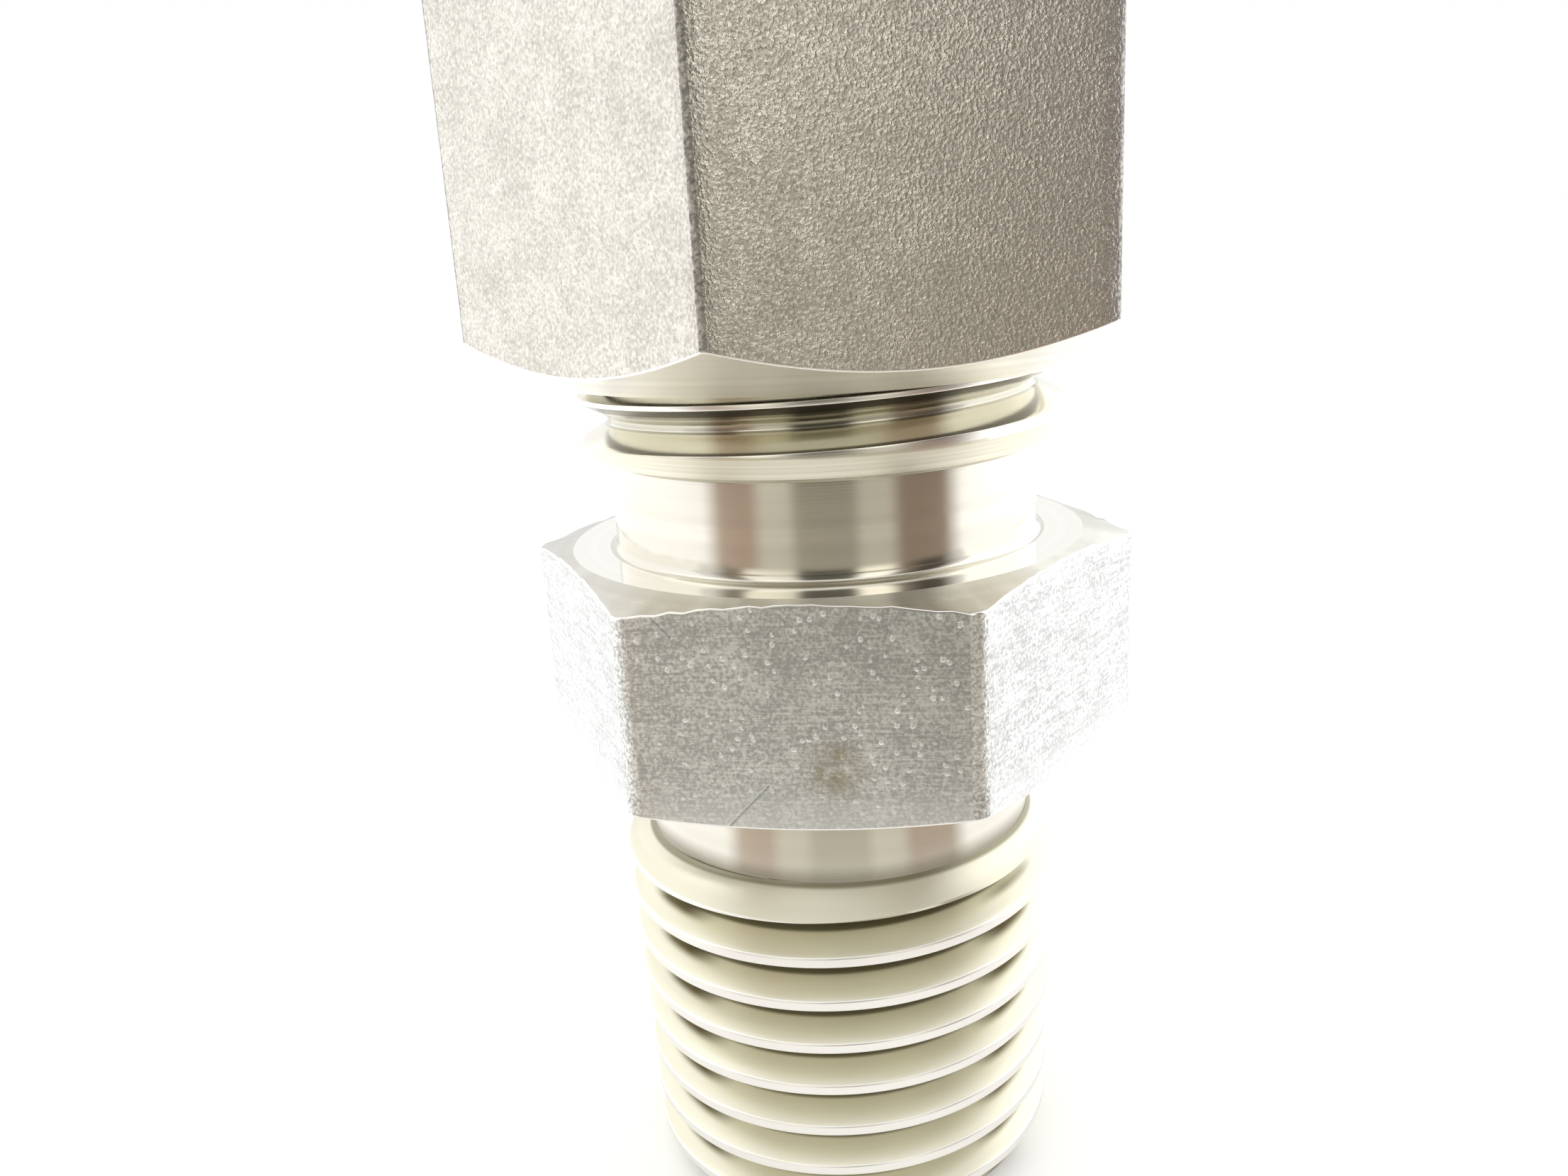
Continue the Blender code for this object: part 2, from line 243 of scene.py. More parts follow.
def make_world():
    world = bpy.data.worlds.new("light_tent")
    world.use_nodes = True
    tree = world.node_tree
    tree.nodes.clear()
    tone = tent_node(tree, add(tree, "ShaderNodeTexCoord").outputs["Generated"])
    path = add(tree, "ShaderNodeLightPath").outputs
    colour = blend_colour(tree, path["Is Camera Ray"], tone, (*TENT_WHITE, 1.0))
    background = add(tree, "ShaderNodeBackground", {"Color": colour, "Strength": 1.0})
    add(tree, "ShaderNodeOutputWorld", {"Surface": background.outputs[0]})
    return world


def make_floor():
    bpy.ops.mesh.primitive_plane_add(size=FLOOR_SIZE)
    floor = bpy.context.active_object
    floor.name = "floor"
    material = bpy.data.materials.new("pale_floor")
    material.use_nodes = True
    material.cycles.emission_sampling = "NONE"
    tree = material.node_tree
    tree.nodes.clear()
    place = add(tree, "ShaderNodeTexCoord").outputs["Object"]
    direction = vector_math(tree, "NORMALIZE", vector_math(tree, "ADD", place, FLOOR_EYE))
    path = add(tree, "ShaderNodeLightPath").outputs
    seen_in_steel = path["Is Glossy Ray"]
    toned = vector_math(tree, "MULTIPLY", tent_node(tree, direction), FLOOR_TONE)
    colour = blend_colour(tree, seen_in_steel, FLOOR_COLOUR, toned)
    seen = calc(tree, "MAXIMUM", path["Is Camera Ray"], seen_in_steel)
    seen = calc(tree, "MAXIMUM", seen, path["Is Transmission Ray"])
    lift = times(tree, seen, FLOOR_LIFT)
    matte = add(tree, "ShaderNodeBsdfDiffuse", {"Color": colour})
    glow = add(tree, "ShaderNodeEmission", {"Color": colour, "Strength": lift})
    both = add(tree, "ShaderNodeAddShader", {0: matte.outputs[0], 1: glow.outputs[0]})
    add(tree, "ShaderNodeOutputMaterial", {"Surface": both.outputs[0]})
    floor.data.materials.append(material)


scene.world = make_world()
make_floor()
print("tent and floor in place")

# %% [markdown]
# ## Three soft lamps
#
# A lamp on each side gives the outer faces of the hexagons their shine and lays a soft shadow on the
# floor, and a weak one above fills it in. They are wide and close, as softboxes are, and no stronger
# than the tent itself.

# %% Set the lamps
LAMP_SIZE = 190 * MM
LAMP_DISTANCE = 115 * MM
LAMP_TARGET = Vector((0.0, 0.0, 22 * MM))
# Name, azimuth from -Y towards +X, elevation, and how bright it is beside the tent's 1
LAMPS = [
    ("left_softbox", -104.0, 14.0, 0.38),
    ("right_softbox", 122.0, 10.0, 0.74),
    ("top_softbox", -60.0, 72.0, 0.20),
]


def set_lamp(name, azimuth, elevation, brightness):
    data = bpy.data.lights.new(name, "AREA")
    data.shape = "SQUARE"
    data.size = LAMP_SIZE
    data.energy = brightness * math.pi * LAMP_SIZE**2
    lamp = place_object(name, data)
    away = turn(azimuth, "Z") @ turn(-elevation, "X") @ Vector((0.0, -1.0, 0.0))
    lamp.location = LAMP_TARGET + away * LAMP_DISTANCE
    lamp.rotation_euler = away.to_track_quat("Z", "Y").to_euler()
    lamp.visible_camera = False


for lamp_values in LAMPS:
    set_lamp(*lamp_values)
print("set", len(LAMPS), "lamps")

# %% [markdown]
# ## Effects for the finishes
#
# The steel here comes in a few finishes, and each uses one or more of four effects: the grain of the
# drawn bar, the fine rings of a lathe, the straight lines of a milling cutter, and small pale specks.
# Each effect is one node group that puts out heights, tones or masks, and finishes use it at their own
# scale. It reads places from the object's own coordinates, so nothing has to be unwrapped.

# %% Start a node group
def new_group(name, inputs, outputs):
    """A group with number sockets, its inputs, and the scale that fits the first one, a length in mm."""
    group = bpy.data.node_groups.new(name, "ShaderNodeTree")
    for direction, labels in (("INPUT", inputs), ("OUTPUT", outputs)):
        for label in labels:
            group.interface.new_socket(label, in_out=direction, socket_type="NodeSocketFloat")
    given = add(group, "NodeGroupInput").outputs
    return group, given, calc(group, "DIVIDE", 1 / MM, given[0])


def object_place(tree):
    return add(tree, "ShaderNodeTexCoord").outputs["Object"]


def noise(tree, place, scale, detail=3.0, roughness=0.6):
    inputs = {"Vector": place, "Scale": scale, "Detail": detail, "Roughness": roughness}
    return add(tree, "ShaderNodeTexNoise", inputs).outputs["Fac"]


# %% Bar grain
CLOUD_SCALE = 0.07  # of the grain's own scale
CRYSTAL_BUMP = 0.12  # how much each part adds to the fine noise
FACET_TONE = 0.22
CLOUD_TONE = 0.40
GRAIN_RANGE = (0.46, 1.16)


def make_bar_grain():
    """Crystals of pickled bar: a fine rough height and a speckled tone, both 0 to 1."""
    group, _, scale = new_group("bar_grain", ["Grain"], ["Height", "Tone"])
    place = object_place(group)
    fine = noise(group, place, scale, detail=2.0, roughness=0.55)
    broad = noise(group, place, times(group, scale, CLOUD_SCALE), detail=3.0)
    crystals = add(group, "ShaderNodeTexVoronoi", {"Vector": place, "Scale": scale}).outputs
    facet = add(group, "ShaderNodeSeparateColor", {"Color": crystals["Color"]}).outputs["Red"]
    bumpy = multiply_add(group, crystals["Distance"], CRYSTAL_BUMP, fine)
    mottle = multiply_add(group, facet, FACET_TONE, fine)
    clouded = multiply_add(group, broad, CLOUD_TONE, mottle)
    tone = remap(group, clouded, *GRAIN_RANGE)
    add(group, "NodeGroupOutput", {"Height": bumpy, "Tone": tone})
    return group


bar_grain = make_bar_grain()
print("made", bar_grain.name)

# %% Lathe rings
RING_RISE = 0.6  # share of the height, which keeps rings apart on cylinders, faces and cones alike
RING_WANDER = 0.02 * MM
WANDER_SCALE = 0.25 / MM
COARSE_RINGS = 0.15  # of the fine rings' scale


def off_axis(tree, split):
    """How far a place is from the axis."""
    level = add(tree, "ShaderNodeCombineXYZ", {"X": split["X"], "Y": split["Y"]})
    return vector_math(tree, "LENGTH", level.outputs[0])


def ring_noise(tree, along, scale, detail):
    inputs = {"W": along, "Scale": scale, "Detail": detail}
    return add(tree, "ShaderNodeTexNoise", inputs, noise_dimensions="1D").outputs["Fac"]


def make_lathe_rings():
    """Rings that a turning tool leaves: the same all the way round, changing along the profile."""
    group, _, scale = new_group("lathe_rings", ["Pitch"], ["Height", "Streak"])
    split = add(group, "ShaderNodeSeparateXYZ", {"Vector": object_place(group)}).outputs
    along = multiply_add(group, split["Z"], RING_RISE, off_axis(group, split))
    wander = noise(group, object_place(group), WANDER_SCALE, detail=2.0)
    total = multiply_add(group, wander, RING_WANDER, along)
    fine = ring_noise(group, total, scale, 3.0)
    coarse = ring_noise(group, total, times(group, scale, COARSE_RINGS), 2.0)
    add(group, "NodeGroupOutput", {"Height": fine, "Streak": coarse})
    return group


lathe_rings = make_lathe_rings()
print("made", lathe_rings.name)

# %% Milling lines
LINE_STRETCH = (0.045, 0.045, 1.0)
COARSE_LINES = 0.22  # of the fine lines' scale


def make_milling_lines():
    """Level lines across a flat, each a few millimetres long, and broad level bands of shade."""
    group, _, scale = new_group("milling_lines", ["Pitch"], ["Height", "Streak"])
    stretched = vector_math(group, "MULTIPLY", object_place(group), LINE_STRETCH)
    fine = noise(group, stretched, scale, detail=3.0, roughness=0.7)
    coarse = noise(group, stretched, times(group, scale, COARSE_LINES), detail=2.0)
    add(group, "NodeGroupOutput", {"Height": fine, "Streak": coarse})
    return group


milling_lines = make_milling_lines()
print("made", milling_lines.name)

# %% Specks
SPECK_SMALLEST = 0.15  # radius, as a share of the spacing
SPECK_SPREAD = 0.24
CROWD_SCALE = 0.12  # of the specks' own scale
CROWD_RANGE = (0.25, 0.50)


def make_specks():
    """Round pale specks scattered over a surface, thinned out by a broad noise."""
    group, given, scale = new_group("specks", ["Spacing", "Amount"], ["Mask"])
    place = object_place(group)
    cells = add(group, "ShaderNodeTexVoronoi", {"Vector": place, "Scale": scale}).outputs
    lot = add(group, "ShaderNodeSeparateColor", {"Color": cells["Color"]}).outputs
    reach = multiply_add(group, lot["Green"], SPECK_SPREAD, SPECK_SMALLEST)
    dot = remap(group, calc(group, "DIVIDE", cells["Distance"], reach), 1.0, 0.5)
    crowd = noise(group, place, times(group, scale, CROWD_SCALE), detail=1.0)
    chance = times(group, given["Amount"], remap(group, crowd, *CROWD_RANGE))
    picked = calc(group, "LESS_THAN", lot["Red"], chance)
    add(group, "NodeGroupOutput", {"Mask": times(group, dot, picked)})
    return group


specks = make_specks()
print("made", specks.name)

# %% [markdown]
# ## The finishes
#
# Stainless steel is one metal everywhere on this fitting, and only its surface changes: grey and grained
# where the drawn bar is left as it came, lined where a cutter made the flats, and bright where the lathe
# passed. On the threads, the broken edges and the relief, some tones are also painted light and shade.
# Each finish is a Principled shader with full Metallic. Colour, roughness and bump come from the effects.

# %% Start a finish
def new_finish(name):
    material = bpy.data.materials.new(name)
    material.use_nodes = True
    tree = material.node_tree
    shader = tree.nodes["Principled BSDF"]
    shader.inputs["Metallic"].default_value = 1.0
    return material, tree, shader


def use(tree, group, *values):
    return add(tree, "ShaderNodeGroup", dict(enumerate(values)), node_tree=group).outputs


def emboss(tree, shader, height, depth, under=None):
    """Turns a height of 0 to 1 into a bump that many millimetres deep."""
    inputs = {"Height": height, "Distance": depth * MM, "Strength": 1.0}
    if under is not None:
        inputs["Normal"] = under
    bump = add(tree, "ShaderNodeBump", inputs)
    tree.links.new(bump.outputs["Normal"], shader.inputs["Normal"])
    return bump.outputs["Normal"]


def polish(tree, shader, factor, low, high):
    tree.links.new(remap(tree, factor, 0.0, 1.0, low, high), shader.inputs["Roughness"])


def make_steel(name, effect, dark, light, rough, size, depth):
    """Steel whose colour and roughness follow an effect's tone, with its height as a bump."""
    material, tree, shader = new_finish(name)
    height, tone = use(tree, effect, size)
    colour = blend_colour(tree, tone, (*dark, 1.0), (*light, 1.0))
    tree.links.new(colour, shader.inputs["Base Color"])
    polish(tree, shader, tone, *rough)
    emboss(tree, shader, height, depth)
    return material


# %% Grained bar
GRAIN_SIZE = 0.085  # mm
GRAIN_DEPTH = 0.020
# Dark and light tone and the roughness of each, for the drawn and pickled skin of the bar
BAR_FINISHES = {
    "nut_grain": ((0.47, 0.45, 0.405), (0.79, 0.765, 0.70), (0.32, 0.22)),
    "nut_corner": ((0.17, 0.16, 0.15), (0.60, 0.575, 0.53), (0.50, 0.36)),
    "bar_corner": ((0.36, 0.365, 0.34), (0.98, 0.99, 0.95), (0.50, 0.36)),
}
grained = {}
for label, tones in BAR_FINISHES.items():
    grained[label] = make_steel(label, bar_grain, *tones, GRAIN_SIZE, GRAIN_DEPTH)
print("made", list(grained))

# %% Turned steel
# Dark and light tone, roughness of each, and the rings' spacing and depth in mm
TURNED_FINISHES = {
    "turned_face": ((0.74, 0.72, 0.655), (0.84, 0.82, 0.75), (0.40, 0.30), 0.05, 0.0012),
    "shoulder": ((0.60, 0.585, 0.53), (0.70, 0.685, 0.63), (0.34, 0.24), 0.05, 0.0012),
    "burnished": ((0.93, 0.91, 0.85), (0.98, 0.96, 0.90), (0.12, 0.07), 0.04, 0.0003),
    "turned_neck": ((0.64, 0.615, 0.54), (0.74, 0.715, 0.64), (0.17, 0.10), 0.04, 0.0004),
    # The edge's pale tone adds a painted highlight to the light that its rounding catches, also on the
    # coupling thread's crests
    "edge_painted_highlight": ((0.88, 0.86, 0.81), (0.94, 0.92, 0.87), (0.30, 0.22), 0.04, 0.0004),
    # The coupling thread's upper flank is painted lighter as painted light, and its lower flank darker as
    # painted shade
    "upper_flank_painted_light": ((0.90, 0.87, 0.755), (0.96, 0.93, 0.81), (0.20, 0.14), 0.05, 0.0006),
    "lower_flank_painted_shade": ((0.50, 0.48, 0.40), (0.58, 0.56, 0.47), (0.16, 0.10), 0.06, 0.0006),
    # The near-black outer part of each ridge's underside is painted shade
    "underside_painted_shade": ((0.08, 0.075, 0.06), (0.13, 0.12, 0.10), (0.26, 0.18), 0.06, 0.0006),
    "collar": ((0.60, 0.57, 0.46), (0.92, 0.885, 0.745), (0.38, 0.28), 0.018, 0.0012),
    "bored_steel": ((0.54, 0.52, 0.465), (0.64, 0.62, 0.555), (0.36, 0.24), 0.09, 0.0025),
    "ferrule_turned": ((0.64, 0.62, 0.56), (0.72, 0.70, 0.64), (0.22, 0.14), 0.05, 0.0008),
}
turned = {label: make_steel(label, lathe_rings, *values) for label, values in TURNED_FINISHES.items()}
print("made", len(turned), "turned finishes")

# %% Marks on one flat
FRONT = -7.94  # mm, the flat that faces the camera
SMEAR_AT = (0.88, FRONT, 16.0)
SMEAR_RADIUS = 1.10
SMEAR_GRAIN = 0.35  # mm, the size of its patches
SMEAR_RANGE = (0.22, 0.70)
SMEAR_BROWN = (0.36, 0.31, 0.19, 1.0)
LINES_AT = (1.7, FRONT, 16.7)  # a patch where the cutter's lines stand out
LINES_RADIUS = 1.9
LINES_RANGE = (0.52, 0.66)
LINES_PALE = (1.0, 0.99, 0.97, 1.0)
SCRATCHES = [
    ((-1.97, FRONT, 14.40), (-0.88, FRONT, 15.52)),
    ((-3.65, FRONT, 20.13), (-3.15, FRONT, 19.56)),
]
SCRATCH_WIDTH = 0.065
SCRATCH_CORE = 0.3  # share of the width with the full tone
SPOT_CORE = 0.2  # share of a spot's radius with the full tone
SCRATCH_GREY = (0.24, 0.23, 0.21, 1.0)


def in_metres(limits):
    return [limit * MM for limit in limits]


def spot(tree, place, centre, radius):
    """A soft round mask about a point."""
    away = vector_math(tree, "DISTANCE", place, Vector(centre) * MM)
    return remap(tree, away, radius * MM, SPOT_CORE * radius * MM)


def scratch(tree, place, start, end):
    """A thin mask along a straight scratch between two points."""
    first = Vector(start) * MM
    run = Vector(end) * MM - first
    offset = vector_math(tree, "SUBTRACT", place, first)
    reached = vector_math(tree, "DOT_PRODUCT", offset, run)
    share = calc(tree, "DIVIDE", reached, run.length_squared, clamp=True)
    along = add(tree, "ShaderNodeVectorMath", {0: run, "Scale": share}, operation="SCALE")
    away = vector_math(tree, "DISTANCE", offset, along.outputs["Vector"])
    return remap(tree, away, SCRATCH_WIDTH * MM, SCRATCH_CORE * SCRATCH_WIDTH * MM)


# %% Milled flats
FLAT_DARK = (0.46, 0.466, 0.462, 1.0)
FLAT_LIGHT = (0.84, 0.85, 0.845, 1.0)
FLAT_ROUGH = (0.44, 0.30)
FLAT_RANGE = (0.40, 0.86)
LINE_PITCH = 0.06  # mm
LINE_DEPTH = 0.004
LINE_TONE = 0.60  # how much the lines, their bands and the bar's grain add to the tone
STREAK_TONE = 0.22
GRAIN_TONE = 0.40
FLAT_GRAIN = 0.09  # mm
SPECK_PALE = (1.0, 0.985, 0.965, 1.0)
SPECK_SPACING = 0.30
SPECK_AMOUNT = 0.95
SPECK_DEPTH = 0.014
SCRATCH_DEPTH = 0.02
SPECKS_THIN = (14.9, 17.0)  # mm, heights between which the specks get denser
SPECKS_LEAST = 0.35  # share of the specks below that
CLEAN_FOOT = (15.9, 14.4)  # mm, heights between which the flats get brighter


def make_milled():
    """The body's wrench flats: level cutter lines and pale specks, and the marks on one flat."""
    material, tree, shader = new_finish("milled_flat")
    lines = use(tree, milling_lines, LINE_PITCH)
    grain = use(tree, bar_grain, FLAT_GRAIN)
    place = object_place(tree)
    height = add(tree, "ShaderNodeSeparateXYZ", {"Vector": place}).outputs["Z"]
    dots = use(tree, specks, SPECK_SPACING, SPECK_AMOUNT)["Mask"]
    density = remap(tree, height, *in_metres(SPECKS_THIN), low=SPECKS_LEAST)
    dots = times(tree, dots, density)
    lined = times(tree, lines["Height"], LINE_TONE)
    banded = multiply_add(tree, lines["Streak"], STREAK_TONE, lined)
    tone = remap(tree, multiply_add(tree, grain["Tone"], GRAIN_TONE, banded), *FLAT_RANGE)
    steel = blend_colour(tree, tone, FLAT_DARK, FLAT_LIGHT)
    clean = remap(tree, height, *in_metres(CLEAN_FOOT))
    ridges = remap(tree, lines["Height"], *LINES_RANGE)
    ruled = times(tree, spot(tree, place, LINES_AT, LINES_RADIUS), ridges)
    patches = noise(tree, place, 1 / (SMEAR_GRAIN * MM), detail=4.0, roughness=0.7)
    smeared = remap(tree, patches, *SMEAR_RANGE)
    smear = times(tree, spot(tree, place, SMEAR_AT, SMEAR_RADIUS), smeared)
    scored = calc(tree, "MAXIMUM", *[scratch(tree, place, *ends) for ends in SCRATCHES])
    # Masks with their strength and colour, in the order in which they lie on the steel
    layers = [
        (clean, 0.45, FLAT_LIGHT),
        (ruled, 0.5, LINES_PALE),
        (dots, 0.6, SPECK_PALE),
        (smear, 0.8, SMEAR_BROWN),
        (scored, 0.45, SCRATCH_GREY),
    ]
    for mask, strength, colour in layers:
        steel = blend_colour(tree, times(tree, mask, strength), steel, colour)
    tree.links.new(steel, shader.inputs["Base Color"])
    polish(tree, shader, lines["Height"], *FLAT_ROUGH)
    base = emboss(tree, shader, lines["Height"], LINE_DEPTH)
    raised = emboss(tree, shader, dots, SPECK_DEPTH, under=base)
    emboss(tree, shader, times(tree, scored, -1.0), SCRATCH_DEPTH, under=raised)
    return material


milled_flat = make_milled()
print("made", milled_flat.name)

# %% Pipe thread
PIPE_END_RADIUS = 6.5
PIPE_TAPER = 1 / 32  # on the radius
# Depths below the crests, in mm, where a change of tone starts and ends
CREST_TO_FLANK = (0.03, 0.06)
FLANK_TO_ROOT = (0.70, 0.80)
FLANK_TO_RESIDUE = (0.36, 0.60)
# The painted shade deep in the grooves lies to either side of one azimuth. It starts and ends so many
# degrees from it
RESIDUE_MIDDLE = 6.5  # degrees from -Y towards +X
RESIDUE_START = (36.0, 50.0)
RESIDUE_END = (70.0, 58.0)
RESIDUE_TOP = (10.6, 10.2)  # mm, so that it stays out of the relief
# Pale crests: a painted highlight
CREST_WHITE = (0.92, 0.90, 0.85, 1.0)
FLANK_DARK = (0.715, 0.69, 0.56, 1.0)
FLANK_LIGHT = (0.80, 0.775, 0.635, 1.0)
# Dark olive in the roots: painted shade
ROOT_OLIVE = (0.30, 0.28, 0.20, 1.0)
# Brown deep in the grooves at both sides: painted shade
RESIDUE_BROWN = (0.15, 0.125, 0.07, 1.0)
PIPE_RINGS = 0.06  # mm
PIPE_RING_DEPTH = 0.0008
PIPE_ROUGH = (0.44, 0.32)


def make_pipe_thread():
    """Turned flanks, a painted highlight on the crests, and painted shade in the roots and deep at both
    sides.
    """
    material, tree, shader = new_finish("pipe_thread")
    rings = use(tree, lathe_rings, PIPE_RINGS)
    split, angle = face(tree, object_place(tree), RESIDUE_MIDDLE)
    crest_radius = multiply_add(tree, split["Z"], PIPE_TAPER, PIPE_END_RADIUS * MM)
    depth = calc(tree, "SUBTRACT", crest_radius, off_axis(tree, split))
    aside = calc(tree, "ABSOLUTE", angle)
    residue = remap(tree, depth, *in_metres(FLANK_TO_RESIDUE))
    for value, limits in (
        (aside, np.radians(RESIDUE_START)),
        (aside, np.radians(RESIDUE_END)),
        (split["Z"], in_metres(RESIDUE_TOP)),
    ):
        residue = times(tree, residue, remap(tree, value, *limits))
    flank = blend_colour(tree, rings["Streak"], FLANK_DARK, FLANK_LIGHT)
    worn = blend_colour(tree, remap(tree, depth, *in_metres(CREST_TO_FLANK)), CREST_WHITE, flank)
    grimy = blend_colour(tree, remap(tree, depth, *in_metres(FLANK_TO_ROOT)), worn, ROOT_OLIVE)
    tree.links.new(blend_colour(tree, residue, grimy, RESIDUE_BROWN), shader.inputs["Base Color"])
    polish(tree, shader, rings["Streak"], *PIPE_ROUGH)
    emboss(tree, shader, rings["Height"], PIPE_RING_DEPTH)
    return material


pipe_thread = make_pipe_thread()
print("made", pipe_thread.name)

# %% Painted shade at the relief's foot
RELIEF_CLEAN = 12.3  # mm, the height below which the groove over the pipe thread darkens towards its foot, as painted shade
RELIEF_FOOT = 11.7
RELIEF_GRIME = (0.34, 0.315, 0.255, 1.0)


def make_relief():
    """Turned like the neck, and darker towards the foot as painted shade."""
    material = make_steel("relief", lathe_rings, *TURNED_FINISHES["turned_neck"])
    tree = material.node_tree
    colour = tree.nodes["Principled BSDF"].inputs["Base Color"]
    height = add(tree, "ShaderNodeSeparateXYZ", {"Vector": object_place(tree)}).outputs["Z"]
    grime = remap(tree, height, *in_metres((RELIEF_CLEAN, RELIEF_FOOT)))
    tree.links.new(blend_colour(tree, grime, colour.links[0].from_socket, RELIEF_GRIME), colour)
    return material


relief = make_relief()
print("made", relief.name)

# %% [markdown]
# ## Profiles with broken edges
#
# No edge on a turned part is perfectly sharp, and the thin bright line along an edge is its small
# rounding; on the body and the nut, that rounding's paler finish adds a painted highlight. A profile
# here is a list of corners, each with a radius, a height, a rounding and the finish that starts there.
# The helper replaces each inner corner by a short curve, tangent to both sides, and adds a narrow row
# of faces beside it, so that the side itself is shaded flat.

# %% Round a profile's corners
ROUND_STEPS = 3
# On the body and nut, roundings of this size take a pale finish that adds a painted highlight
EDGE = 0.06  # mm, the usual broken edge, which has a bright finish of its own
LONGEST_ROUND = 0.45  # of the shorter side next to a corner
HOLD = 0.04  # mm, the row beside a rounding
LONGEST_HOLD = 0.04  # of the shorter side
SHARPEST = 0.001  # tangent of half a corner's angle, at least


def rounded(corners, hold=HOLD):
    """Points (radius, height) of a profile in mm, and the finish of the strip that follows each."""
    places = [Vector(corner[:2]) for corner in corners]
    points = [places[0], places[0] + (places[1] - places[0]).normalized() * hold]
    finishes = [corners[0][3]] * 2
    for index in range(1, len(corners) - 1):
        here = places[index]
        back = places[index - 1] - here
        ahead = places[index + 1] - here
        shorter = min(back.length, ahead.length)
        half = back.angle(ahead, math.pi) / 2
        reach = min(corners[index][2] / max(math.tan(half), SHARPEST), LONGEST_ROUND * shorter)
        beside = reach + min(hold, LONGEST_HOLD * shorter)
        start = here + back.normalized() * reach
        end = here + ahead.normalized() * reach
        earlier, later = corners[index - 1][3], corners[index][3]
        points.append(here + back.normalized() * beside)
        finishes.append(earlier)
        for step in range(ROUND_STEPS + 1):
            t = step / ROUND_STEPS
            points.append(start * (1 - t) ** 2 + here * 2 * t * (1 - t) + end * t**2)
            finishes.append("edge" if corners[index][2] == EDGE else earlier)
        finishes[-1] = later
        points.append(here + ahead.normalized() * beside)
        finishes.append(later)
    points.append(places[-1] + (places[-2] - places[-1]).normalized() * hold)
    finishes.append(corners[-2][3])
    points.append(places[-1])
    finishes.append(corners[-1][3])
    return [tuple(point) for point in points], finishes


def slope(degrees):
    return math.tan(math.radians(degrees))


# %% [markdown]
# ## Threads
#
# A thread is a ridge that climbs by one pitch in each turn. It could be made by a Screw modifier and
# then joined to the body with Booleans, but those leave slivers where the thread runs out. Here each
# upright slice of the body gets the thread's outline directly, shifted along the axis by the slice's
# share of a turn. Cones trim the ridge at both ends, as a chamfer does on the lathe, and the last groove
# of the pipe thread climbs out to the relief.

# %% Draw one pitch of a thread
FLANK_ANGLE = 30.0  # of each side of the groove
FLANK_STEPS = 18  # extra rows in a pitch
CREST_SHARE = 0.25  # of the crest's rounding, down to which the crest's finish goes
FADE_TURNS = 0.2  # how long a groove takes to reach its depth
# The outer part of each ridge's underside, down to this share of the depth, is painted near-black as
# painted shade
GRIMY_SHARE = 0.36  # of the depth, from the crest down on the underside of a ridge


class Thread:
    """One pitch of a 60-degree thread, from crest to crest: how deep it is at each place along the axis.

    The names of its finishes start with label. Upwards from a crest come the ridge's top side (upper),
    the lower half of the root (root), root_band deep, and the underside of the next ridge (lower), whose
    outer part is painted near-black as painted shade. The groove fades in at first_turn, counted up the
    thread from the crest that passes start at angle 0.
    """

    def __init__(
        self, label, pitch, depth, crest, rounding, root_rounding, root_band, height, angle, first_turn
    ):
        self.pitch = pitch
        self.start = height - pitch * angle / 360
        self.first_turn = first_turn
        half_root = pitch / 2 - crest / 2 - depth * slope(FLANK_ANGLE)
        corners = [
            (0.0, 0.0, 0.0, ""),
            (crest / 2, 0.0, rounding, ""),
            (pitch / 2 - half_root, -depth, root_rounding, ""),
            (pitch / 2 + half_root, -depth, root_rounding, ""),
            (pitch - crest / 2, 0.0, rounding, ""),
            (pitch, 0.0, 0.0, ""),
        ]
        outline = np.array(rounded(corners, hold=0.0)[0])
        along = np.concatenate([outline[:, 0], np.linspace(0.0, pitch, FLANK_STEPS + 1)])
        self.along = np.unique(np.round(along, 6))
        self.depths = np.interp(self.along, outline[:, 0], -outline[:, 1])
        places = (self.along[1:] + self.along[:-1]) / 2
        depths = (self.depths[1:] + self.depths[:-1]) / 2
        surfaces = np.where(places < pitch / 2, "upper", "lower")
        # Painted shade on the outer part of a ridge's underside
        surfaces[(depths < depth * GRIMY_SHARE) & (places > pitch / 2)] = "grimy"
        surfaces[depths < rounding * CREST_SHARE] = "crest"
        surfaces[(depths > depth - root_band) & (places < pitch / 2)] = "root"
        self.finishes = [f"{label} {surface}" for surface in surfaces]

    def rows(self, angle, low, high):
        """Heights, depths and finishes of one upright slice, from the low end to the high end."""
        share = angle / 360
        first = math.floor((low - self.start) / self.pitch) - 2
        last = math.ceil((high - self.start) / self.pitch) + 2
        base = self.start + self.pitch * (np.arange(first, last) + share)
        heights = np.clip((base[:, None] + self.along[None, :-1]).ravel(), low, high)
        turns = (heights - self.start) / self.pitch - share
        depths = np.interp(turns % 1.0 * self.pitch, self.along, self.depths)
        fade = np.clip((np.floor(turns) + share - self.first_turn) / FADE_TURNS, 0.0, 1.0)
        return heights, depths * fade, self.finishes * (last - first)


print("one pitch has about", FLANK_STEPS + 4 * ROUND_STEPS, "rows")

# %% [markdown]
# ## Rings from slices
#
# Body, nut and ferrules are all rings. Each is built slice by slice round the axis, with equally many
# points in every slice, and neighbouring slices are joined by quads. The slices crowd at a hexagon's
# corners. Where a thread starts, points of a slice fall together, and welding removes them. It also
# closes the seam where the last slice meets the first, one pitch further up the thread.

# %% Build a ring
WELD = 0.0002 * MM
SHARP_ANGLE = 38.0


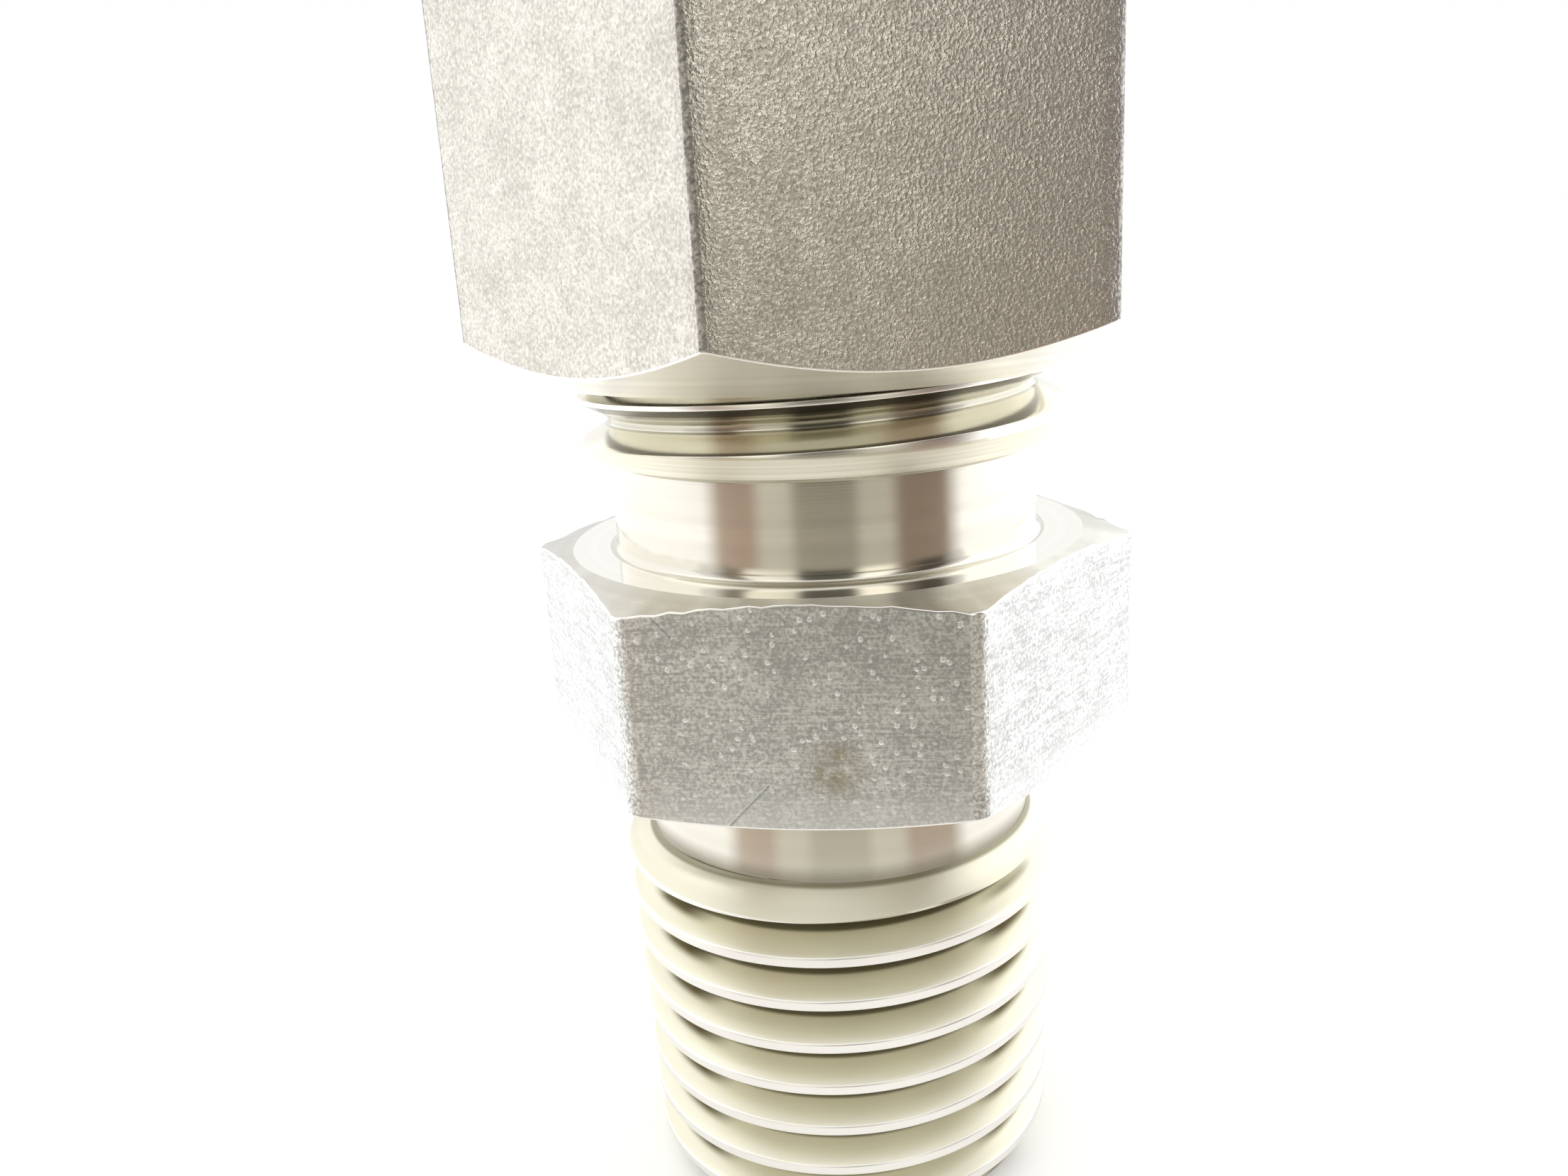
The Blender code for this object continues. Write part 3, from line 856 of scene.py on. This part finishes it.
def make_ring(name, angles, slices, corner_faces=(), refinish=None):
    """A closed mesh from slices, which are (radius, height) points with the finish that follows each.

    Flat faces among corner_faces take the corner's finish. refinish gives masks of the faces that take
    another finish, from the radius and height of their middles.
    """
    shape = np.array([points for points, _ in slices])
    around = np.radians(angles)[:, None]
    radius = shape[:, :, 0]
    places = np.stack([radius * np.cos(around), radius * np.sin(around), shape[:, :, 1]], axis=2) * MM
    count, rows = radius.shape
    index = np.arange(count * rows).reshape(count, rows)
    onward = np.roll(index, -1, axis=1)
    quads = np.stack([index[:-1], index[1:], onward[1:], onward[:-1]], axis=2).reshape(-1, 4)
    mesh = bpy.data.meshes.new(name)
    mesh.from_pydata(places.reshape(-1, 3).tolist(), [], quads.tolist())
    used = sorted(FINISHES[name])
    strip = np.array([used.index(finish) for finish in slices[0][1]])
    slots = np.tile(strip, (count - 1, 1))
    if len(corner_faces):
        slots[np.ix_(corner_faces, strip == used.index("flat"))] = used.index("corner")
    if refinish:
        pairs = shape + np.roll(shape, -1, axis=1)
        middle = (pairs[:-1] + pairs[1:]) / 4
        for finish, faces in refinish(middle[:, :, 0], middle[:, :, 1]).items():
            slots[faces] = used.index(finish)
    mesh.polygons.foreach_set("material_index", slots.ravel())
    for finish in used:
        mesh.materials.append(FINISHES[name][finish])
    form = bmesh.new()
    form.from_mesh(mesh)
    bmesh.ops.remove_doubles(form, verts=form.verts, dist=WELD)
    bmesh.ops.dissolve_degenerate(form, edges=form.edges, dist=WELD)
    bmesh.ops.recalc_face_normals(form, faces=form.faces)
    loose = sum(not edge.is_manifold for edge in form.edges)
    form.to_mesh(mesh)
    form.free()
    mesh.shade_smooth()
    mesh.set_sharp_from_angle(angle=math.radians(SHARP_ANGLE))
    print(name, "has", len(mesh.polygons), "faces and", loose, "open edges")
    return place_object(name, mesh)


def stand_for(ring, node, body):
    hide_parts(node)
    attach(ring, body)


FERRULE_FINISHES = {"turned": turned["ferrule_turned"], "edge": turned["ferrule_turned"]}
# The coupling thread's flanks carry painted light and shade, and its crests the edge's painted highlight
COUPLING_FINISHES = {
    "coupling crest": turned["edge_painted_highlight"],
    "coupling upper": turned["upper_flank_painted_light"],
    "coupling root": turned["turned_neck"],
    "coupling lower": turned["lower_flank_painted_shade"],
    "coupling grimy": turned["underside_painted_shade"],
}
FINISHES = {
    "body_steelwork": {
        "turned": turned["shoulder"],
        "face": turned["burnished"],
        "neck": turned["turned_neck"],
        "relief": relief,
        "edge": turned["edge_painted_highlight"],
        "collar": turned["collar"],
        **COUPLING_FINISHES,
        **{label.replace("coupling", "pipe"): pipe_thread for label in COUPLING_FINISHES},
        "flat": milled_flat,
        "corner": grained["bar_corner"],
        "bore": turned["bored_steel"],
    },
    "nut_steelwork": {
        "turned": turned["turned_face"],
        "edge": turned["edge_painted_highlight"],
        **COUPLING_FINISHES,
        "flat": grained["nut_grain"],
        "corner": grained["nut_corner"],
        "bore": turned["bored_steel"],
    },
    "front_ferrule_ring": FERRULE_FINISHES,
    "back_ferrule_ring": FERRULE_FINISHES,
}

# %% Slices of a hexagon
FLAT_STEPS = 25
CORNER_STEPS = 2


def corner_reach(flat, corner):
    """Half of the angle that a rounded corner takes up, in degrees."""
    centre = (flat - corner) / math.cos(math.pi / 6)
    return math.degrees(math.atan2(corner / 2, centre + corner * math.cos(math.pi / 6)))


def hexagon_angles(first_corner, reach):
    """Slice angles right round a hexagon, and which spaces between slices lie in a corner."""
    angles = []
    corner_faces = []
    for corner in first_corner + 60.0 * np.arange(6):
        corner_faces += [len(angles) + step for step in range(CORNER_STEPS)]
        angles += list(np.linspace(corner - reach, corner + reach, CORNER_STEPS + 1))
        angles += list(np.linspace(corner + reach, corner + 60.0 - reach, FLAT_STEPS + 1)[1:-1])
    return np.array(angles + [first_corner + 360.0 - reach]), corner_faces


def hexagon_radius(angle, first_corner, flat, corner):
    """How far the side of a hexagon is from the axis, with its corners rounded."""
    off = (angle - first_corner + 30.0) % 60.0 - 30.0
    if abs(off) >= corner_reach(flat, corner):
        return flat / math.cos(math.radians(30.0 - abs(off)))
    centre = (flat - corner) / math.cos(math.pi / 6)
    lean = math.radians(off)
    return centre * math.cos(lean) + math.sqrt(corner**2 - (centre * math.sin(lean)) ** 2)


# %% [markdown]
# ## The body
#
# The body is turned from hexagon bar in one piece. From the top come the nose with the ferrules' cone
# inside it, the coupling thread, the neck, the hexagon with its shallow turned chamfers, a relief groove,
# and the pipe thread, which tapers 1 in 16. The nose's height and the width over the flats are read from
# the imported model. Other sizes follow its source or, for roundings and thread ends, the photograph.

# %% Sizes of the body
_, body_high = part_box("connector_body")
NOSE = body_high.z / MM
BODY_FLAT = body_high.y / MM
BODY_FIRST_CORNER = 0.0  # degrees from +X
BODY_CORNER = 0.50
BODY_INSET = 0.30  # from the flats in to the turned end faces
BODY_FACE = BODY_FLAT - BODY_INSET
BODY_CHAMFER = 15.0
HEX_BOTTOM = 14.2
HEX_TOP = 20.45
NECK_RADIUS = 6.3125
NECK_FILLET = 0.22
SOCKET_RADIUS = 4.8125
SOCKET_FOOT = 22.9
SEAT_ANGLE = 20.0
MOUTH_RADIUS = 5.9125
NOSE_RADIUS = 6.05
BORE_RADIUS = 3.55
BORE_CHAMFER = 0.4
COUPLING_CREST = 7.1125
COUPLING_FOOT = 23.28
COLLAR_RADIUS = 6.85  # where the thread ends above the neck, in a steep cone
COLLAR_ANGLE = 25.0
GROOVE_DEPTH = 0.12  # of the small groove under it
GROOVE_FLOOR = 0.05  # its straight height
GROOVE_HEIGHT = 0.19
GROOVE_ROUND = 0.03
GROOVE_LIP = 0.02
ON_CONE = 0.02  # how near to a cone a face counts as part of it
ON_CREST = 0.01  # and how near to the coupling thread's crests
PIPE_TOP = RELIEF_FOOT
PIPE_CHAMFER = 0.9
END_MIDDLE = 4.4  # a radius on the end face, where the profile closes
RELIEF_RADIUS = 5.996
RELIEF_FILLET = 0.25
RUN_OUT = 0.35  # how fast the last groove climbs to the relief

coupling = Thread(
    label="coupling",
    pitch=1.27,
    depth=0.84,
    crest=0.12,
    rounding=0.04,
    root_rounding=0.05,
    root_band=0.025,
    height=25.2,
    angle=-83.5,
    first_turn=-1.95,
)
pipe = Thread(
    label="pipe",
    pitch=25.4 / 18,
    depth=0.97,
    crest=0.28,
    rounding=0.06,
    root_rounding=0.04,
    root_band=0.10,
    height=11.06,
    angle=-90.0,
    first_turn=-math.inf,
)
print("nose at", round(NOSE, 2), "mm, flats", round(2 * BODY_FLAT, 3), "mm apart")

# %% Cut the body's slices
BURR_SEED = 7
BURR_HEIGHT = 0.035


def collar_radius(heights):
    return COLLAR_RADIUS + (heights - COUPLING_FOOT) * slope(COLLAR_ANGLE)


def coupling_radius(heights, depths):
    nose = NOSE_RADIUS + (NOSE - heights)
    return np.minimum(np.minimum(COUPLING_CREST - depths, nose), collar_radius(heights))


def pipe_radius(heights, depths):
    crest = PIPE_END_RADIUS + heights * PIPE_TAPER
    shoulder = RELIEF_RADIUS + (PIPE_TOP - heights)
    end = PIPE_END_RADIUS - PIPE_CHAMFER + heights
    floor = RELIEF_RADIUS - RUN_OUT * (PIPE_TOP - heights)
    return np.minimum(np.minimum(np.maximum(crest - depths, floor), shoulder), end)


def body_slice(angle, burr):
    side = hexagon_radius(angle, BODY_FIRST_CORNER, BODY_FLAT, BODY_CORNER)
    drop = (side - BODY_FACE) * slope(BODY_CHAMFER)
    seat_foot = NOSE - (MOUTH_RADIUS - SOCKET_RADIUS) / slope(SEAT_ANGLE)
    middle = (SOCKET_FOOT + seat_foot) / 2
    mouth = rounded([
        (SOCKET_RADIUS, middle, 0.0, "bore"),
        (SOCKET_RADIUS, seat_foot, EDGE, "bore"),
        (MOUTH_RADIUS, NOSE, EDGE, "turned"),
        (NOSE_RADIUS, NOSE, 0.0, "turned"),
    ])
    groove = NECK_RADIUS - GROOVE_DEPTH
    waist = rounded([
        (groove, COUPLING_FOOT, 0.0, "coupling lower"),
        (groove, COUPLING_FOOT - GROOVE_FLOOR, GROOVE_ROUND, "coupling lower"),
        (NECK_RADIUS, COUPLING_FOOT - GROOVE_HEIGHT, GROOVE_LIP, "neck"),
        (NECK_RADIUS, HEX_TOP, NECK_FILLET, "face"),
        (BODY_FACE, HEX_TOP, EDGE, "turned"),
        (side, HEX_TOP - drop + burr, EDGE, "flat"),
        (side, HEX_BOTTOM + drop, EDGE, "turned"),
        (BODY_FACE, HEX_BOTTOM, EDGE, "turned"),
        (RELIEF_RADIUS, HEX_BOTTOM, RELIEF_FILLET, "relief"),
        (RELIEF_RADIUS, PIPE_TOP, 0.0, "relief"),
    ])
    bore = rounded([
        (END_MIDDLE, 0.0, 0.0, "turned"),
        (BORE_RADIUS + BORE_CHAMFER, 0.0, EDGE, "turned"),
        (BORE_RADIUS, BORE_CHAMFER, EDGE, "bore"),
        (BORE_RADIUS, SOCKET_FOOT, EDGE, "bore"),
        (SOCKET_RADIUS, SOCKET_FOOT, EDGE, "bore"),
        (SOCKET_RADIUS, middle, 0.0, "bore"),
    ])
    heights, depths, coupling_finishes = coupling.rows(angle, COUPLING_FOOT, NOSE)
    upper = list(zip(coupling_radius(heights, depths), heights))[::-1]
    heights, depths, pipe_finishes = pipe.rows(angle, 0.0, PIPE_TOP)
    lower = list(zip(pipe_radius(heights, depths), heights))[::-1]
    points = mouth[0] + upper + waist[0] + lower + bore[0]
    finishes = mouth[1] + coupling_finishes[::-1] + waist[1] + pipe_finishes[::-1] + bore[1]
    return points, finishes


def refinish_ends(radius, height):
    """Masks of the faces on the coupling thread's crests and on the collar under it."""
    at_crest = (radius > COUPLING_CREST - ON_CREST) & (height > COUPLING_FOOT)
    at_collar = (abs(radius - collar_radius(height)) < ON_CONE) & (radius > COLLAR_RADIUS)
    return {"coupling crest": at_crest, "collar": at_collar}


def make_body():
    angles, corners = hexagon_angles(BODY_FIRST_CORNER, corner_reach(BODY_FLAT, BODY_CORNER))
    burrs = np.random.default_rng(BURR_SEED).uniform(-BURR_HEIGHT, BURR_HEIGHT, len(angles))
    burrs[-1] = burrs[0]
    slices = [body_slice(angle, burr) for angle, burr in zip(angles, burrs)]
    ring = make_ring("body_steelwork", angles, slices, corners, refinish_ends)
    stand_for(ring, "connector_body", "body")


make_body()

# %% [markdown]
# ## The nut
#
# The nut is cut from larger bar. Its flats keep the bar's grain, and each end has a turned chamfer that
# meets the flats in curved edges. Inside are the coupling thread, the chamber for the ferrules with its
# sloping roof, and the hole for the tube. The inner thread has the same helix as the body's, a little
# further out, so the two run in each other at every turn of the nut.

# %% Sizes of the nut
nut_low, nut_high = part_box("coupling_nut")
NUT_BOTTOM = nut_low.z / MM
NUT_TOP = nut_high.z / MM
NUT_FLAT = 8.7125
NUT_CORNER = 0.20
NUT_FIRST_CORNER = -97.9  # degrees from +X: the corner that faces the camera
NUT_INSET = 0.9
NUT_FACE = NUT_FLAT - NUT_INSET
NUT_CHAMFER = 30.0
NUT_ENTRY = 7.35
THREAD_GAP = 0.12  # between the two threads, on the radius
NUT_MINOR = 6.5
CHAMBER_RADIUS = 6.4125
CHAMBER_FOOT = 33.19
CHAMBER_ROOF = 35.33
CHAMBER_ROUND = 0.1
ROOF_ANGLE = 15.0
HOLE_RADIUS = 4.9125
HOLE_CHAMFER = 0.4
print("nut from", round(NUT_BOTTOM, 2), "to", round(NUT_TOP, 2), "mm")

# %% Cut the nut's slices
def nut_thread_radius(heights, depths):
    thread = np.maximum(COUPLING_CREST - depths + THREAD_GAP, NUT_MINOR)
    entry = NUT_ENTRY - (heights - NUT_BOTTOM)
    end = CHAMBER_RADIUS + (CHAMBER_FOOT - heights)
    return np.minimum(np.maximum(thread, entry), end)


def nut_slice(angle):
    side = hexagon_radius(angle, NUT_FIRST_CORNER, NUT_FLAT, NUT_CORNER)
    drop = (side - NUT_FACE) * slope(NUT_CHAMFER)
    hole_roof = CHAMBER_ROOF + (CHAMBER_RADIUS - HOLE_RADIUS) * slope(ROOF_ANGLE)
    top_middle = (NUT_FACE + HOLE_RADIUS) / 2
    outside = rounded([
        (top_middle, NUT_TOP, 0.0, "turned"),
        (NUT_FACE, NUT_TOP, EDGE, "turned"),
        (side, NUT_TOP - drop, EDGE, "flat"),
        (side, NUT_BOTTOM + drop, EDGE, "turned"),
        (NUT_FACE, NUT_BOTTOM, EDGE, "turned"),
        (NUT_ENTRY, NUT_BOTTOM, 0.0, "turned"),
    ])
    inside = rounded([
        (CHAMBER_RADIUS, CHAMBER_FOOT, 0.0, "bore"),
        (CHAMBER_RADIUS, CHAMBER_ROOF, CHAMBER_ROUND, "bore"),
        (HOLE_RADIUS, hole_roof, CHAMBER_ROUND, "bore"),
        (HOLE_RADIUS, NUT_TOP - HOLE_CHAMFER, EDGE, "turned"),
        (HOLE_RADIUS + HOLE_CHAMFER, NUT_TOP, EDGE, "turned"),
        (top_middle, NUT_TOP, 0.0, "turned"),
    ])
    heights, depths, thread_finishes = coupling.rows(angle, NUT_BOTTOM, CHAMBER_FOOT)
    thread = list(zip(nut_thread_radius(heights, depths), heights))
    return outside[0] + thread + inside[0], outside[1] + thread_finishes + inside[1]


def make_nut():
    angles, corners = hexagon_angles(NUT_FIRST_CORNER, corner_reach(NUT_FLAT, NUT_CORNER))
    slices = [nut_slice(angle) for angle in angles]
    ring = make_ring("nut_steelwork", angles, slices, corners)
    stand_for(ring, "coupling_nut", "nut")


make_nut()

# %% [markdown]
# ## The ferrules
#
# Two plain rings lie between the nut and the body. The front one is a cone that wedges into the body's
# mouth, with a recess behind for the nose of the back one. They are inside the nut.

# %% Turn the ferrules
FERRULE_STEPS = 120
FERRULE_BORE = 4.8125
FRONT_TIP_WALL = 0.25
FRONT_RIM = 0.3
BACK_TIP_WALL = 0.2
BACK_ROOT = 5.688


def make_ferrule(name, node, outline):
    angles = np.linspace(0.0, 360.0, FERRULE_STEPS + 1)
    corners = [(*place, EDGE, "turned") for place in outline]
    points, finishes = rounded(corners + corners[:2])
    ring = make_ring(name, angles, [(points[2:-2], finishes[2:-2])] * len(angles))
    stand_for(ring, node, "ferrule_set")


def front_outline():
    low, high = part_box("front_ferrule")
    foot, top, outer = low.z / MM, high.z / MM, high.x / MM
    tip = FERRULE_BORE + FRONT_TIP_WALL
    shoulder = foot + (outer - tip) / slope(SEAT_ANGLE)
    recess = outer - FRONT_RIM
    inner = top - (recess - FERRULE_BORE)
    outside = [(recess, top), (outer, top), (outer, shoulder), (tip, foot)]
    return outside + [(FERRULE_BORE, foot), (FERRULE_BORE, inner)]


def back_outline():
    low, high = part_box("back_ferrule")
    foot, crown, outer = low.z / MM, high.z / MM, high.x / MM
    tip = FERRULE_BORE + BACK_TIP_WALL
    bottom = foot + BACK_ROOT - tip
    top = crown - (outer - FERRULE_BORE) * slope(ROOF_ANGLE)
    outside = [(outer, top), (outer, bottom), (BACK_ROOT, bottom), (tip, foot)]
    return [(FERRULE_BORE, crown), *outside, (FERRULE_BORE, foot)]


make_ferrule("front_ferrule_ring", "front_ferrule", front_outline())
make_ferrule("back_ferrule_ring", "back_ferrule", back_outline())
